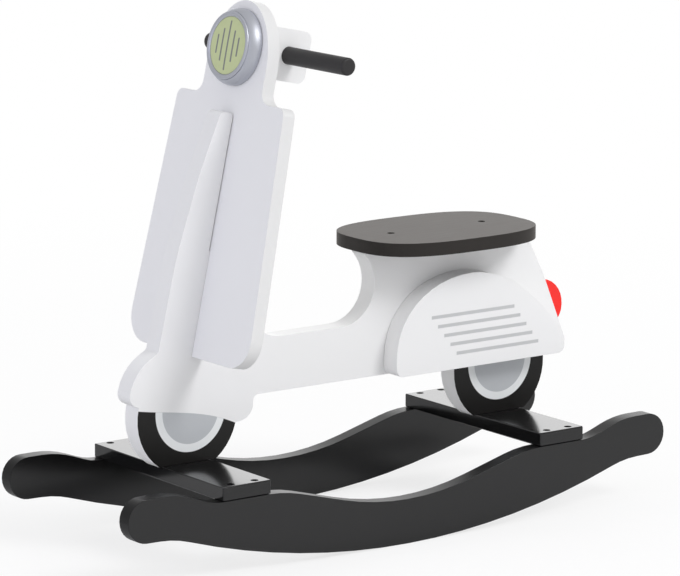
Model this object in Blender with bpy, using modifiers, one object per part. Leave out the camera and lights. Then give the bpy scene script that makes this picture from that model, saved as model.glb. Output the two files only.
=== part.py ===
"""Rocking scooter toy for a small child, made of lacquered boards.

Metres, +X is the front of the scooter, +Y its left side, +Z up.
The origin is on the floor, under the middle of the rockers.
"""
import math

import bmesh
import bpy
from mathutils import Matrix, Vector

# Fits and rounding
GAP = 0.0003                 # between pieces that touch
SHAFT_GAP = 0.0004           # round a screw, dowel or bar in its hole
EDGE_RADIUS = 0.0028         # rounded edges of the thick boards
THIN_EDGE_RADIUS = 0.0016    # rounded edges of the cross boards
ARC_ERROR = 0.0002           # how far a facet may leave its arc
ARC_STEP = 15.0              # degrees, the widest turn between two facets
ROUND_FROM = 40.0            # degrees, edges that are sharper than this get rounded
CREASE_FROM = 35.0           # degrees, edges that are sharper than this stay creased

# Rockers
ROCKER_LENGTH = 0.758
ROCKER_THICKNESS = 0.018
ROLL_RADIUS = 0.970          # radius of the rolling edge
ROLL_END_SLOPE = 18.0        # degrees, where the rolling arc ends
ROLL_END_HEIGHT = 0.0535
TOE_UNDERSIDE = 0.0547
TOE_TOP = 0.103
TOE_RADIUS = 0.024
ROLL_TO_TOE_RADIUS = 0.130
SEAT_FLAT_HEIGHT = 0.0855    # where the cross boards lie
SEAT_FLAT_INNER_MARGIN = 0.019
SEAT_FLAT_OUTER_MARGIN = 0.012
SHOULDER_SLOPE = 20.0        # degrees, between flat and toe
HOLLOW_SLOPE = 15.0          # degrees, between flat and hollow
HOLLOW_HEIGHT = 0.052
SHOULDER_RADIUS = 0.120
FLAT_OUTER_RADIUS = 0.080
FLAT_INNER_RADIUS = 0.160
HOLLOW_RADIUS = 0.360

# Cross boards
BOARD_SPACING = 0.446
BOARD_WIDTH = 0.064
BOARD_LENGTH = 0.260
BOARD_THICKNESS = 0.016
BOARD_SCREW_SPREAD = 0.0318

# Body board with its two round feet, painted as wheels
BODY_THICKNESS = 0.025
WHEEL_RADIUS = 0.0672
WHEEL_INSET = 0.001          # each wheel's middle inside its board's middle
WHEEL_CENTRE_RISE = 0.0555   # wheel centre above the cross board
DECK_UNDERSIDE_RISE = 0.0667
DECK_TOP_RISE = 0.130
LIP_REACH = 0.059            # front lower edge of the mudguard, ahead of the board's middle
LIP_RISE = 0.069
NOSE_REACH = 0.0781
NOSE_RISE = 0.0785
NOSE_RADIUS = 0.0125
BROW_REACH = 0.0693
BROW_RISE = 0.1132
BROW_RADIUS = 0.056
CROOK_REACH = 0.0378         # where mudguard and column meet
CROOK_RISE = 0.1309
CROOK_RADIUS = 0.006
HEM_REACH = 0.050            # rear lower edge of the mudguard, behind the board's middle
HEM_DROP = 0.0045
SKIRT_REACH = 0.0919         # rear lower corner of the mudguard
SKIRT_RISE = 0.041
SKIRT_RADIUS = 0.020
SKIRT_LEAN = 0.002
SKIRT_FILLET = 0.007
COLUMN_BACK_REACH = 0.077    # rear edge of the column at the deck
COLUMN_BACK_LEAN = 0.013
COLUMN_BACK_TOP_RISE = 0.335
COLUMN_FILLET = 0.050
COLUMN_TOP_FRONT_RADIUS = 0.003
COLUMN_TOP_BACK_RADIUS = 0.009
THROAT_RADIUS = 0.047        # hollow under the front of the seat
THROAT_REACH = 0.261
THROAT_OVERHANG = 43.0       # degrees
POST_TOP_RISE = 0.2133
POST_CORNER = 0.002
TAIL_TOP_REACH = 0.4828
TAIL_TOP_RADIUS = 0.004
TAIL_KNEE_REACH = 0.511
TAIL_KNEE_RISE = 0.159
TAIL_KNEE_RADIUS = 0.150
TAIL_FOOT_REACH = 0.549
TAIL_FOOT_RISE = 0.0677
TAIL_FOOT_RADIUS = 0.008

# Shield, seen along its own leaning face; heights from its lower edge
SHIELD_THICKNESS = 0.016
SHIELD_LEAN = 12.43          # degrees back from upright
SHIELD_FOOT_REACH = 0.0061   # front face at the lower edge, behind the wheel centre
SHIELD_FOOT_RISE = 0.1213
SHIELD_FOOT_HALF = 0.1205
SHIELD_SHOULDER_HALF = 0.1035
SHIELD_SHOULDER = 0.2915
SHIELD_FOOT_CORNER = 0.034
SHIELD_SHOULDER_CORNER = 0.010
NECK_HALF = 0.0575
NECK_FILLET = 0.015
HEAD_START = 0.3275          # above it the head is a half oval
HEAD_RISE = 0.0741
HEAD_STEPS = 14
LAP_HEIGHT = 0.120           # where shield slot and body slot meet
FINGER_GAP = 0.0013          # lacquered slot, looser at the front
FINGER_DEPTH = 0.0434        # finger of the body ahead of the shield
FINGER_BEND_HEIGHT = 0.108
FINGER_BEND_RADIUS = 0.400
FINGER_UPPER_DEPTH = 0.032
FINGER_UPPER_HEIGHT = 0.203
FINGER_UPPER_RADIUS = 0.300
FINGER_TIP_DEPTH = 0.0178
FINGER_TIP_HEIGHT = 0.2752
FINGER_TIP_RADIUS = 0.007
FINGER_TOP_RADIUS = 0.005

# Handlebar and its block
BAR_RADIUS = 0.010
BAR_LENGTH = 0.268
BAR_SIDES = 32
BAR_END_RADIUS = 0.0025
BAR_DEPTH = 0.054            # behind the shield's front face
BAR_ABOVE_HEAD_START = 0.0215
BLOCK_WIDTH = 0.042
BLOCK_DEPTH = 0.065
BLOCK_HEIGHT = 0.059
BLOCK_CORNER = 0.010
BLOCK_FRONT_CORNER = 0.002
BLOCK_SCREW_SPREAD = 0.036
BORE_OVERRUN = 0.010         # how far the bore cutter stands out on each side

# Headlight
LAMP_ABOVE_HEAD_START = 0.021
LAMP_BASE_RADIUS = 0.0435
LAMP_BASE_CHAMFER = 0.001
LAMP_BASE_HEIGHT = 0.0018    # where the swelling side starts
LAMP_SWELL = 0.0006          # how far the side swells out beyond its base
LAMP_SWELL_HEIGHT = 0.0075
LAMP_NECK_RADIUS = 0.041     # pulls the side in towards the rim
LAMP_NECK_HEIGHT = 0.0125
LAMP_SHOULDER_RADIUS = 0.038
LAMP_SHOULDER_HEIGHT = 0.0155
LAMP_RIM_RADIUS = 0.0368
LAMP_RIM_WIDTH = 0.002
LAMP_RIM_ROLL = 0.0003
LAMP_CURVE_STEPS = 5
LAMP_THICKNESS = 0.0175
LENS_RADIUS = 0.0325
LENS_THICKNESS = 0.0045
LENS_RECESS = 0.0012         # lens below the rim
LENS_CROWN = 0.0006
LENS_CROWN_BEND = 0.016      # radius at which the crown falls off
LENS_CROWN_DROP = 0.00015
LENS_EDGE = 0.001            # where the crown turns down to the rim
LENS_EDGE_DROP = 0.0008
LAMP_SIDES = 40

# Rear covers, reaches behind the front wheel centre
COVER_THICKNESS = 0.025
COVER_FRONT_REACH = 0.2745
COVER_FRONT_RISE = 0.0862
COVER_FRONT_PULL = 0.056     # how far the front edge rises before it bends
COVER_FRONT_CORNER = 0.010
COVER_TOP_REACH = 0.385
COVER_TOP_RISE = 0.1785
COVER_TOP_FRONT_PULL = 0.062
COVER_TOP_REAR_PULL = 0.057
COVER_REAR_REACH = 0.5265
COVER_REAR_RISE = 0.0702
COVER_REAR_PULL = 0.048
COVER_REAR_LEAN = 12.0       # degrees
COVER_REAR_CORNER = 0.009
COVER_FRONT_STEPS = 11
COVER_REAR_STEPS = 14
COVER_PIN_SPREAD = 0.120
COVER_PIN_DROP = 0.010       # below the middle of the cover's height

# Seat
SEAT_LENGTH = 0.237
SEAT_WIDTH = 0.164
SEAT_THICKNESS = 0.0155
SEAT_CENTRE_REACH = 0.360
SEAT_SQUARENESS = 2.9        # power of the rounded outline
SEAT_SIDES = 64
SEAT_SCREW_SPREAD = 0.133

# Tail light, a slice of a disc on the rear edge
TAIL_LIGHT_RADIUS = 0.032
TAIL_LIGHT_BULGE = 0.0165
TAIL_LIGHT_THICKNESS = 0.018
TAIL_LIGHT_RISE = 0.1254
TAIL_LIGHT_EDGE = 0.0015
TAIL_PIN_RADIUS = 0.003
TAIL_PIN_LENGTH = 0.022
TAIL_PIN_SHIFT = 0.0015      # towards the body, which is the thicker of the two

# Fasteners
SCREW_RADIUS = 0.0021
SCREW_HEAD_RADIUS = 0.0042
SCREW_RIM = 0.0005           # straight edge of the head
SCREW_POINT = 0.0034         # tapered end of the shaft
SCREW_SINK = 0.0022          # head below the surface
FLUSH_SINK = 0.0005          # head just below a face that another piece covers
SCREW_SIDES = 10
HEX_RADIUS = 0.0017
HEX_DEPTH = 0.0016
PIN_RADIUS = 0.004
PIN_SIDES = 16
PIN_BITE = 0.014             # dowel length inside each cover
BOARD_SCREW_LENGTH = 0.045
WHEEL_SCREW_LENGTH = 0.050
WHEEL_SCREW_SPREAD = 0.032
SEAT_SCREW_LENGTH = 0.040
BLOCK_SCREW_LENGTH = 0.036
LAMP_SCREW_LENGTH = 0.020
LOCK_SCREW_LENGTH = 0.024

# Places worked out from the sizes above
FRONT_X = BOARD_SPACING / 2
REAR_X = -BOARD_SPACING / 2
BOARD_BOTTOM = SEAT_FLAT_HEIGHT + GAP
BOARD_TOP = BOARD_BOTTOM + BOARD_THICKNESS
FRONT_WHEEL = (FRONT_X - WHEEL_INSET, BOARD_TOP + WHEEL_CENTRE_RISE)
REAR_WHEEL = (REAR_X + WHEEL_INSET, BOARD_TOP + WHEEL_CENTRE_RISE)
ROCKER_Y = BOARD_LENGTH / 2 - ROCKER_THICKNESS / 2
POST_TOP = BOARD_TOP + POST_TOP_RISE
LEAN = math.radians(SHIELD_LEAN)
SHIELD_UP = Vector((-math.sin(LEAN), 0, math.cos(LEAN)))
SHIELD_OUT = Vector((math.cos(LEAN), 0, math.sin(LEAN)))
SHIELD_FOOT = Vector((FRONT_X - SHIELD_FOOT_REACH, 0, BOARD_TOP + SHIELD_FOOT_RISE))
BAR_HEIGHT = HEAD_START + BAR_ABOVE_HEAD_START
LAMP_HEIGHT = HEAD_START + LAMP_ABOVE_HEAD_START
SEAT_TOP = POST_TOP + GAP + SEAT_THICKNESS
LENS_TOP = LAMP_THICKNESS - LENS_RECESS
LENS_UNDERSIDE = LENS_TOP - LENS_THICKNESS
LAMP_FLOOR = LENS_UNDERSIDE - GAP    # floor of the dish that holds the lens

scene = bpy.context.scene


def clear_scene():
    for old in list(bpy.data.objects):
        bpy.data.objects.remove(old, do_unlink=True)


def new_collection(name):
    collection = bpy.data.collections.new(name)
    scene.collection.children.link(collection)
    return collection


clear_scene()
parts = new_collection("rocking_scooter_toy")
cutters = new_collection("cutters")
frame = bpy.data.objects.new("scooter_frame", None)
parts.objects.link(frame)


def material(name, colour, roughness, metallic=0.0):
    """A plain finish for one part."""
    finish = bpy.data.materials.new(name)
    finish.use_nodes = True
    shader = finish.node_tree.nodes["Principled BSDF"]
    shader.inputs["Base Color"].default_value = (*colour, 1.0)
    shader.inputs["Roughness"].default_value = roughness
    shader.inputs["Metallic"].default_value = metallic
    return finish


def paint(piece, colour, roughness, metallic=0.0):
    piece.data.materials.clear()
    piece.data.materials.append(material(piece.name + "_finish", colour, roughness, metallic))


def white(piece):
    paint(piece, (0.86, 0.86, 0.87), 0.35)


def black(piece):
    paint(piece, (0.03, 0.03, 0.032), 0.3)


def steel(piece):
    paint(piece, (0.35, 0.35, 0.36), 0.35, 1.0)


# Flat outlines


def polar(centre, radius, angle):
    return (centre[0] + radius * math.cos(angle), centre[1] + radius * math.sin(angle))


def arc(centre, radius, start, end):
    """Points of an arc, close enough together for its radius."""
    step = min(math.radians(ARC_STEP), 2 * math.sqrt(2 * ARC_ERROR / radius))
    count = max(2, math.ceil(abs(end - start) / step))
    return [polar(centre, radius, start + (end - start) * i / count) for i in range(count + 1)]


def bezier(start, start_handle, end_handle, end, count):
    """Points of a cubic curve."""
    places = []
    for i in range(count + 1):
        t = i / count
        weights = ((1 - t) ** 3, 3 * t * (1 - t) ** 2, 3 * t * t * (1 - t), t ** 3)
        controls = (start, start_handle, end_handle, end)
        places.append(tuple(sum(w * c[k] for w, c in zip(weights, controls)) for k in (0, 1)))
    return places


def rounded(corners):
    """A closed outline whose corners (x, y, radius) are rounded off by arcs.

    A corner without a radius stays sharp. Where two arcs need more than their
    common edge, both are made smaller by the same share.
    """
    points = [Vector(corner[:2]) for corner in corners]
    radii = [corner[2] if len(corner) > 2 else 0.0 for corner in corners]
    count = len(points)
    turns = []
    tangents = []
    for i in range(count):
        into = (points[i] - points[i - 1]).normalized()
        out = (points[(i + 1) % count] - points[i]).normalized()
        turn = math.atan2(into.cross(out), into.dot(out))
        turns.append(turn)
        tangents.append(radii[i] * math.tan(abs(turn) / 2))
    share = [1.0] * count
    for i in range(count):
        after = (i + 1) % count
        need = tangents[i] + tangents[after]
        room = (points[after] - points[i]).length
        if need > room:
            share[i] = min(share[i], room / need)
            share[after] = min(share[after], room / need)
    outline = []
    for i in range(count):
        radius = radii[i] * share[i]
        reach = tangents[i] * share[i]
        if reach < 1e-6:
            outline.append(tuple(points[i]))
            continue
        into = (points[i] - points[i - 1]).normalized()
        side = math.copysign(1.0, turns[i])
        start = points[i] - into * reach
        centre = start + Vector((-into.y, into.x)) * radius * side
        first = math.atan2(start.y - centre.y, start.x - centre.x)
        outline += arc(centre, radius, first, first + turns[i])
    return outline


def mirrored(half):
    """The whole outline from its +X half, listed from the bottom up."""
    return half + [(-corner[0],) + tuple(corner[1:]) for corner in reversed(half)]


def line_meets_circle(start, end, centre, radius):
    """Where the line from start to end leaves the circle."""
    start, end, centre = Vector(start), Vector(end), Vector(centre)
    along = (end - start).normalized()
    nearest = (centre - start).dot(along)
    offset = (start + along * nearest - centre).length
    return tuple(start + along * (nearest + math.sqrt(radius ** 2 - offset ** 2)))


# Solids


def tidy_mesh(shape):
    """Welds the caps of a filled curve and joins its flat facets."""
    bmesh.ops.remove_doubles(shape, verts=shape.verts, dist=1e-6)
    bmesh.ops.dissolve_limit(shape, angle_limit=1e-4, verts=shape.verts, edges=shape.edges)
    bmesh.ops.recalc_face_normals(shape, faces=shape.faces)


def board(name, outline, thickness, matrix, collection=parts):
    """A flat board: a filled outline, made solid by its thickness."""
    curve = bpy.data.curves.new(name + "_outline", "CURVE")
    curve.dimensions = "2D"
    curve.fill_mode = "BOTH"
    curve.extrude = thickness / 2
    spline = curve.splines.new("POLY")
    spline.points.add(len(outline) - 1)
    for point, place in zip(spline.points, outline):
        point.co = (place[0], place[1], 0.0, 1.0)
    spline.use_cyclic_u = True
    drawn = bpy.data.objects.new(name + "_outline", curve)
    scene.collection.objects.link(drawn)
    drawn.matrix_world = matrix
    depsgraph = bpy.context.evaluated_depsgraph_get()
    mesh = bpy.data.meshes.new_from_object(drawn.evaluated_get(depsgraph))
    shape = bmesh.new()
    shape.from_mesh(mesh)
    tidy_mesh(shape)
    shape.to_mesh(mesh)
    shape.free()
    bpy.data.objects.remove(drawn, do_unlink=True)
    return place_mesh(name, mesh, matrix, collection)


def place_mesh(name, mesh, matrix, collection=parts):
    mesh.name = name
    piece = bpy.data.objects.new(name, mesh)
    collection.objects.link(piece)
    piece.matrix_world = matrix
    if collection is parts:
        piece.parent = frame
    return piece


def axes(origin, x_axis, y_axis, z_axis):
    """A placing matrix from an origin and three unit axes."""
    matrix = Matrix((x_axis, y_axis, z_axis)).transposed().to_4x4()
    matrix.translation = origin
    return matrix


def upright(y=0.0):
    """Outline X and Y become world X and Z; the board's middle lies at y."""
    return axes(Vector((0, y, 0)), Vector((1, 0, 0)), Vector((0, 0, 1)), Vector((0, -1, 0)))


def round_edges(piece, radius, segments=2):
    bevel = piece.modifiers.new("rounded_edges", "BEVEL")
    bevel.width = radius
    bevel.segments = segments
    bevel.limit_method = "ANGLE"
    bevel.angle_limit = math.radians(ROUND_FROM)


def cut(piece, tool):
    tool.hide_render = True
    tool.display_type = "WIRE"
    boolean = piece.modifiers.new("cut_" + tool.name, "BOOLEAN")
    boolean.operation = "DIFFERENCE"
    boolean.solver = "EXACT"
    boolean.object = tool


def smooth(piece):
    piece.data.shade_smooth()
    piece.data.set_sharp_from_angle(angle=math.radians(CREASE_FROM))


def turned_mesh(name, profile, sides):
    """A turned solid about +Z from a profile (radius, height), top to bottom."""
    mesh = bpy.data.meshes.new(name + "_profile")
    edges = [(i, i + 1) for i in range(len(profile) - 1)]
    mesh.from_pydata([(radius, 0, height) for radius, height in profile], edges, [])
    drawn = bpy.data.objects.new(name + "_profile", mesh)
    scene.collection.objects.link(drawn)
    screw = drawn.modifiers.new("turned", "SCREW")
    screw.steps = sides
    screw.render_steps = sides
    screw.use_merge_vertices = True
    screw.merge_threshold = 1e-6
    screw.use_normal_calculate = True
    depsgraph = bpy.context.evaluated_depsgraph_get()
    solid = bpy.data.meshes.new_from_object(drawn.evaluated_get(depsgraph))
    bpy.data.objects.remove(drawn, do_unlink=True)
    shape = bmesh.new()
    shape.from_mesh(solid)
    bmesh.ops.remove_doubles(shape, verts=shape.verts, dist=1e-7)
    bmesh.ops.recalc_face_normals(shape, faces=shape.faces)
    shape.to_mesh(solid)
    shape.free()
    return solid


def joined_cutters(name, mesh, matrices):
    """One cutter that holds a copy of the mesh at each matrix."""
    shape = bmesh.new()
    for matrix in matrices:
        copy = mesh.copy()
        copy.transform(matrix)
        shape.from_mesh(copy)
        bpy.data.meshes.remove(copy)
    group = bpy.data.meshes.new(name)
    shape.to_mesh(group)
    shape.free()
    return place_mesh(name, group, Matrix.Identity(4), cutters)


def aim(origin, direction):
    """A matrix that turns +Z to the direction, at the origin."""
    turn = Vector(direction).to_track_quat("Z", "Y").to_matrix().to_4x4()
    return Matrix.Translation(origin) @ turn


def rod_mesh(name, radius, length, sides):
    """A round bar along its own Z, with its middle at the origin."""
    shape = bmesh.new()
    bmesh.ops.create_cone(shape, cap_ends=True, segments=sides, radius1=radius,
                          radius2=radius, depth=length)
    mesh = bpy.data.meshes.new(name)
    shape.to_mesh(mesh)
    shape.free()
    return mesh


def rod(name, radius, length, matrix, sides, collection=parts):
    return place_mesh(name, rod_mesh(name, radius, length, sides), matrix, collection)


# Screws: +Z points out of the head, the head's top is at height 0


def screw_profile(length):
    taper = SCREW_HEAD_RADIUS - SCREW_RADIUS
    return [(0, 0), (SCREW_HEAD_RADIUS, 0), (SCREW_HEAD_RADIUS, -SCREW_RIM),
            (SCREW_RADIUS, -SCREW_RIM - taper), (SCREW_RADIUS, SCREW_POINT - length), (0, -length)]


def hole_profile(length):
    """The screw's own shape with its clearance, open above the head."""
    taper = SCREW_HEAD_RADIUS - SCREW_RADIUS
    above = 2 * SCREW_SINK
    wide = SCREW_HEAD_RADIUS + SHAFT_GAP
    narrow = SCREW_RADIUS + SHAFT_GAP
    shoulder = -SCREW_RIM - SHAFT_GAP
    return [(0, above), (wide, above), (wide, shoulder), (narrow, shoulder - taper),
            (narrow, -length - SHAFT_GAP), (0, -length - SHAFT_GAP)]


def hex_socket():
    """The six sided hole for the key, as a cutter at the origin."""
    return rod("hex_socket", HEX_RADIUS, 2 * HEX_DEPTH, Matrix.Identity(4), 6, cutters)


HEX_TOOL = hex_socket()


def screw_mesh(name, length):
    """A countersunk screw with a hex socket."""
    blank = place_mesh(name + "_blank", turned_mesh(name, screw_profile(length), SCREW_SIDES),
                       Matrix.Identity(4), cutters)
    cut(blank, HEX_TOOL)
    depsgraph = bpy.context.evaluated_depsgraph_get()
    mesh = bpy.data.meshes.new_from_object(blank.evaluated_get(depsgraph))
    bpy.data.objects.remove(blank, do_unlink=True)
    return mesh


def numbered(name, count):
    """Names of alike pieces; a lone piece keeps its plain name."""
    return [name] if count == 1 else [f"{name}_{i + 1}" for i in range(count)]


def screws(name, places, direction, length, pieces, sink=SCREW_SINK):
    """Sunk screws at surface places, driven against direction into the pieces."""
    matrices = [aim(Vector(place) - Vector(direction) * sink, direction) for place in places]
    mesh = screw_mesh(name, length)
    for title, matrix in zip(numbered(name, len(places)), matrices):
        screw = place_mesh(title, mesh, matrix)
        smooth(screw)
    steel(screw)
    hole = turned_mesh(name + "_hole", hole_profile(length), SCREW_SIDES)
    holes = joined_cutters(name + "_holes", hole, matrices)
    for piece in pieces:
        cut(piece, holes)


# Rockers


def rocker_outline():
    """Half of the rocker, from the middle of the rolling edge round the toe."""
    roll = math.radians(ROLL_END_SLOPE)
    roll_corner = ROLL_RADIUS * math.tan(roll / 2)
    roll_end = roll_corner + ROLL_END_HEIGHT / math.tan(roll)
    toe = ROCKER_LENGTH / 2
    outer = FRONT_X + BOARD_WIDTH / 2 + SEAT_FLAT_OUTER_MARGIN
    inner = FRONT_X - BOARD_WIDTH / 2 - SEAT_FLAT_INNER_MARGIN
    shoulder = outer + (TOE_TOP - SEAT_FLAT_HEIGHT) / math.tan(math.radians(SHOULDER_SLOPE))
    hollow = inner - (SEAT_FLAT_HEIGHT - HOLLOW_HEIGHT) / math.tan(math.radians(HOLLOW_SLOPE))
    half = [(roll_corner, 0, ROLL_RADIUS),
            (roll_end, ROLL_END_HEIGHT, ROLL_TO_TOE_RADIUS),
            (toe, TOE_UNDERSIDE, TOE_RADIUS),
            (toe, TOE_TOP, TOE_RADIUS),
            (shoulder, TOE_TOP, SHOULDER_RADIUS),
            (outer, SEAT_FLAT_HEIGHT, FLAT_OUTER_RADIUS),
            (inner, SEAT_FLAT_HEIGHT, FLAT_INNER_RADIUS),
            (hollow, HOLLOW_HEIGHT, HOLLOW_RADIUS)]
    return rounded(mirrored(half))


def make_rocker(name, y):
    rocker = board(name, rocker_outline(), ROCKER_THICKNESS, upright(y))
    round_edges(rocker, EDGE_RADIUS)
    smooth(rocker)
    black(rocker)
    return rocker


# Cross boards


def make_cross_board(name, x):
    half = BOARD_WIDTH / 2
    across = BOARD_LENGTH / 2
    outline = [(-half, -across), (half, -across), (half, across), (-half, across)]
    middle = Matrix.Translation((x, 0, BOARD_BOTTOM + BOARD_THICKNESS / 2))
    plank = board(name, outline, BOARD_THICKNESS, middle)
    round_edges(plank, THIN_EDGE_RADIUS)
    smooth(plank)
    black(plank)
    return plank


def board_screw_places(x):
    return [(x + along * BOARD_SCREW_SPREAD / 2, side * ROCKER_Y, BOARD_TOP)
            for side in (-1, 1) for along in (-1, 1)]


# Body board


def at_front(reach, rise, radius=0.0):
    """A corner ahead of the front wheel centre, above the cross board."""
    return (FRONT_X + reach, BOARD_TOP + rise, radius)


def on_shield(depth, height, radius=0.0):
    """A corner behind the shield's front face, up along the shield."""
    place = SHIELD_FOOT + SHIELD_UP * height - SHIELD_OUT * depth
    return (place.x, place.z, radius)


def wheel_arc(wheel, start, end):
    """The round foot from one meeting point to the other, cut flat on its board."""
    centre = Vector(wheel)
    half_angle = math.acos((WHEEL_CENTRE_RISE - GAP) / WHEEL_RADIUS)
    down = -math.pi / 2
    first = math.atan2(start[1] - centre.y, start[0] - centre.x)
    last = math.atan2(end[1] - centre.y, end[0] - centre.x)
    if last > down:
        last -= 2 * math.pi
    return (arc(centre, WHEEL_RADIUS, last, down - half_angle)
            + arc(centre, WHEEL_RADIUS, down + half_angle, first))


def on_wheel(rise, side):
    """The rear wheel's point at this height above the board, on one side."""
    reach = math.sqrt(WHEEL_RADIUS ** 2 - (rise - WHEEL_CENTRE_RISE) ** 2)
    return (REAR_WHEEL[0] + side * reach, BOARD_TOP + rise)


def body_outline():
    nose = at_front(NOSE_REACH, NOSE_RISE, NOSE_RADIUS)
    skirt = at_front(-SKIRT_REACH, SKIRT_RISE, SKIRT_RADIUS)
    lip = line_meets_circle(at_front(LIP_REACH, LIP_RISE)[:2], nose[:2],
                            FRONT_WHEEL, WHEEL_RADIUS)
    hem = line_meets_circle(at_front(-HEM_REACH, SKIRT_RISE - HEM_DROP)[:2], skirt[:2],
                            FRONT_WHEEL, WHEEL_RADIUS)
    foot_front = on_wheel(DECK_UNDERSIDE_RISE, 1)
    foot_rear = on_wheel(TAIL_FOOT_RISE, -1)
    slot_rear = SHIELD_THICKNESS + GAP
    column_top = (COLUMN_BACK_TOP_RISE - SHIELD_FOOT_RISE) / math.cos(LEAN)
    throat_turn = math.tan(math.radians(THROAT_OVERHANG) / 2)
    throat_rise = DECK_TOP_RISE + THROAT_RADIUS * (1 + throat_turn)
    lap_rise = POST_TOP_RISE - throat_rise
    post_front = THROAT_REACH - lap_rise * math.tan(math.radians(THROAT_OVERHANG))
    corners = [
        nose,
        at_front(BROW_REACH, BROW_RISE, BROW_RADIUS),
        at_front(CROOK_REACH, CROOK_RISE, CROOK_RADIUS),
        on_shield(-FINGER_DEPTH, FINGER_BEND_HEIGHT, FINGER_BEND_RADIUS),
        on_shield(-FINGER_UPPER_DEPTH, FINGER_UPPER_HEIGHT, FINGER_UPPER_RADIUS),
        on_shield(-FINGER_TIP_DEPTH, FINGER_TIP_HEIGHT, FINGER_TIP_RADIUS),
        on_shield(-FINGER_GAP, FINGER_TIP_HEIGHT, FINGER_TOP_RADIUS),
        on_shield(-FINGER_GAP, LAP_HEIGHT),
        on_shield(slot_rear, LAP_HEIGHT),
        on_shield(slot_rear, column_top, COLUMN_TOP_FRONT_RADIUS),
        at_front(-COLUMN_BACK_REACH - COLUMN_BACK_LEAN, COLUMN_BACK_TOP_RISE,
                 COLUMN_TOP_BACK_RADIUS),
        at_front(-COLUMN_BACK_REACH, DECK_TOP_RISE, COLUMN_FILLET),
        at_front(-THROAT_REACH, DECK_TOP_RISE, THROAT_RADIUS),
        at_front(-THROAT_REACH, throat_rise, THROAT_RADIUS),
        at_front(-post_front, POST_TOP_RISE, POST_CORNER),
        at_front(-TAIL_TOP_REACH, POST_TOP_RISE, TAIL_TOP_RADIUS),
        at_front(-TAIL_KNEE_REACH, TAIL_KNEE_RISE, TAIL_KNEE_RADIUS),
        at_front(-TAIL_FOOT_REACH, TAIL_FOOT_RISE, TAIL_FOOT_RADIUS),
    ]
    corners += wheel_arc(REAR_WHEEL, foot_front, foot_rear)
    corners += [at_front(SKIRT_LEAN - SKIRT_REACH, DECK_UNDERSIDE_RISE, SKIRT_FILLET), skirt]
    corners += wheel_arc(FRONT_WHEEL, lip, hem)
    return rounded(corners)


def make_body():
    body = board("body_board", body_outline(), BODY_THICKNESS, upright())
    round_edges(body, EDGE_RADIUS)
    smooth(body)
    white(body)
    return body


# Shield


def shield_matrix(depth):
    """Outline X to the left, Y up the shield, its middle at this depth."""
    return axes(SHIELD_FOOT - SHIELD_OUT * depth, Vector((0, 1, 0)), SHIELD_UP, SHIELD_OUT)


def shield_outline():
    slot_half = BODY_THICKNESS / 2 + GAP
    half = [(slot_half, LAP_HEIGHT + GAP),
            (slot_half, 0),
            (SHIELD_FOOT_HALF, 0, SHIELD_FOOT_CORNER),
            (SHIELD_SHOULDER_HALF, SHIELD_SHOULDER, SHIELD_SHOULDER_CORNER),
            (NECK_HALF, SHIELD_SHOULDER, NECK_FILLET)]
    for i in range(HEAD_STEPS):
        turn = math.pi / 2 * i / HEAD_STEPS
        half.append((NECK_HALF * math.cos(turn), HEAD_START + HEAD_RISE * math.sin(turn)))
    crown = [(0, HEAD_START + HEAD_RISE)]
    left = [(-corner[0],) + tuple(corner[1:]) for corner in reversed(half)]
    return rounded(half + crown + left)


def make_shield():
    shield = board("shield", shield_outline(), SHIELD_THICKNESS,
                   shield_matrix(SHIELD_THICKNESS / 2))
    round_edges(shield, EDGE_RADIUS)
    smooth(shield)
    white(shield)
    return shield


# Handlebar


def make_handlebar_block():
    front = SHIELD_THICKNESS + GAP
    back = front + BLOCK_DEPTH
    low = BAR_HEIGHT - BLOCK_HEIGHT / 2
    high = BAR_HEIGHT + BLOCK_HEIGHT / 2
    outline = rounded([on_shield(front, low, BLOCK_FRONT_CORNER),
                       on_shield(front, high, BLOCK_FRONT_CORNER),
                       on_shield(back, high, BLOCK_CORNER),
                       on_shield(back, low, BLOCK_CORNER)])
    block = board("handlebar_block", outline, BLOCK_WIDTH, upright())
    round_edges(block, EDGE_RADIUS)
    smooth(block)
    white(block)
    return block


def bar_matrix():
    middle = SHIELD_FOOT + SHIELD_UP * BAR_HEIGHT - SHIELD_OUT * BAR_DEPTH
    return aim(middle, (0, 1, 0))


def make_handlebar(block):
    bar = rod("handlebar", BAR_RADIUS, BAR_LENGTH, bar_matrix(), BAR_SIDES)
    round_edges(bar, BAR_END_RADIUS, 3)
    smooth(bar)
    black(bar)
    bore = rod("handlebar_bore", BAR_RADIUS + GAP, BLOCK_WIDTH + 2 * BORE_OVERRUN, bar_matrix(),
               BAR_SIDES, cutters)
    cut(block, bore)
    return bar


# Headlight


def lamp_matrix():
    return aim(SHIELD_FOOT + SHIELD_UP * LAMP_HEIGHT, SHIELD_OUT)


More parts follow.
